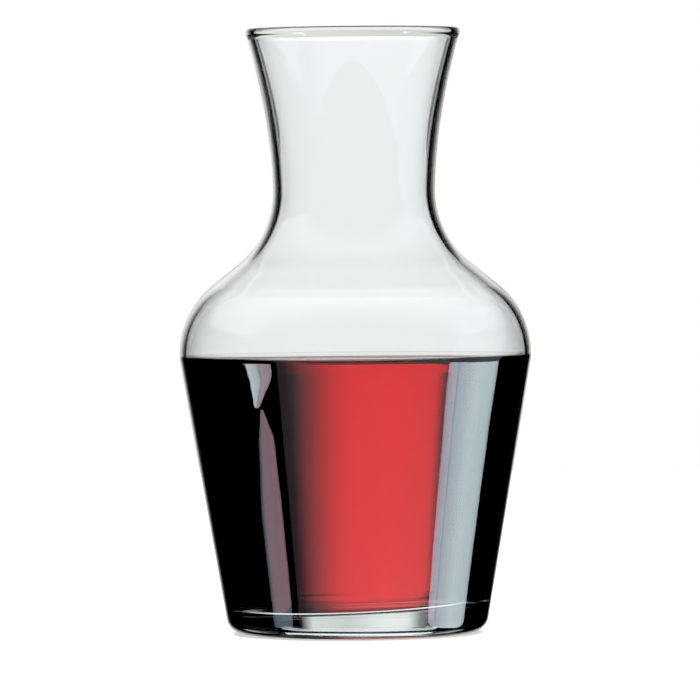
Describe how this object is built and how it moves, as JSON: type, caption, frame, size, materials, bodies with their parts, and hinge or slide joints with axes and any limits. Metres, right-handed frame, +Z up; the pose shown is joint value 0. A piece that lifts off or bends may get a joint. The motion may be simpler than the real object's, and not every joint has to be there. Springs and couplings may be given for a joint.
{
  "type": "wine decanter",
  "caption": "Clear glass wine decanter with a flared open neck, round shoulder, tapered body and thick base, holding red wine up to its widest point.",
  "frame": {"origin": "on the surface the decanter stands on, at the centre of its base", "axes": "+Z up along the axis of the neck and body; the form is turned, so X and Y are equivalent"},
  "size_m": [0.1192, 0.1192, 0.205],
  "materials": {
    "clear_glass": "polished",
    "red_wine": "polished"
  },
  "bodies": {
    "root": {"glass_carafe": "clear_glass", "red_wine": "red_wine"}
  },
  "joints": []
}
